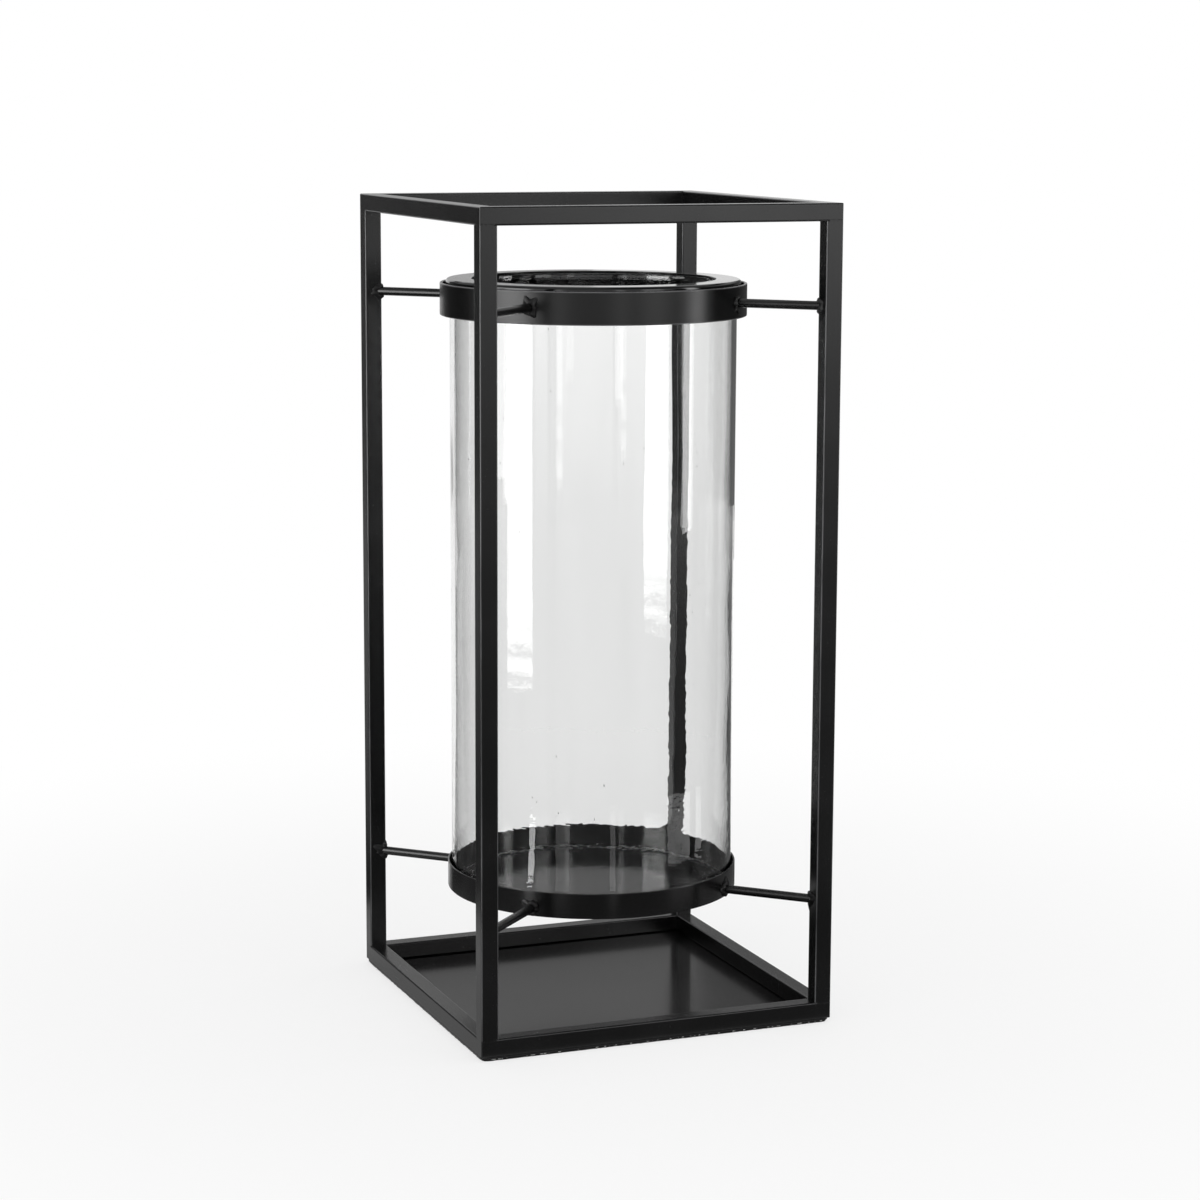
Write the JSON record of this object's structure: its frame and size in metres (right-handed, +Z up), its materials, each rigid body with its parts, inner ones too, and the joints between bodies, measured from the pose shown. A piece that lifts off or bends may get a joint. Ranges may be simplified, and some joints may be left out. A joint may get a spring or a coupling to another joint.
{
  "type": "hurricane candle lantern",
  "caption": "Tall candle lantern: an open square frame of black tube holds a clear glass cylinder between a tray and an upper ring, with a loose collar over the glass rim.",
  "frame": {"origin": "on the floor under the centre of the frame, at the underside of the felt", "axes": "+Z up along the glass, -Y to the front face, +X to the right seen from the front"},
  "size_m": [0.254, 0.254, 0.5588],
  "materials": {
    "black_paint": "satin black powder coat on steel",
    "clear_glass": "clear, slightly wavy hand-made glass",
    "black_felt": "thin black felt"
  },
  "bodies": {
    "frame": {"post_front_left": "black_paint", "post_front_right": "black_paint", "post_back_right": "black_paint", "post_back_left": "black_paint", "top_rail_front": "black_paint", "top_rail_right": "black_paint", "top_rail_back": "black_paint", "top_rail_left": "black_paint", "bottom_rail_front": "black_paint", "bottom_rail_right": "black_paint", "bottom_rail_back": "black_paint", "bottom_rail_left": "black_paint", "upper_rod_front_left": "black_paint", "upper_rod_front_right": "black_paint", "upper_rod_back_right": "black_paint", "upper_rod_back_left": "black_paint", "lower_rod_front_left": "black_paint", "lower_rod_front_right": "black_paint", "lower_rod_back_right": "black_paint", "lower_rod_back_left": "black_paint", "base_plate": "black_paint", "upper_ring": "black_paint", "tray_rim": "black_paint", "tray_floor": "black_paint", "base_felt": "black_felt"},
    "glass": {"glass_cylinder": "clear_glass"},
    "collar": {"retaining_collar": "black_paint"}
  },
  "joints": [
    {"name": "glass_lift", "type": "slide", "parent": "frame", "child": "glass", "axis": [0, 0, 1], "range_m": [0, 0.49]},
    {"name": "collar_lift", "type": "slide", "parent": "glass", "child": "collar", "axis": [0, 0, 1], "range_m": [0, 0.08]}
  ]
}
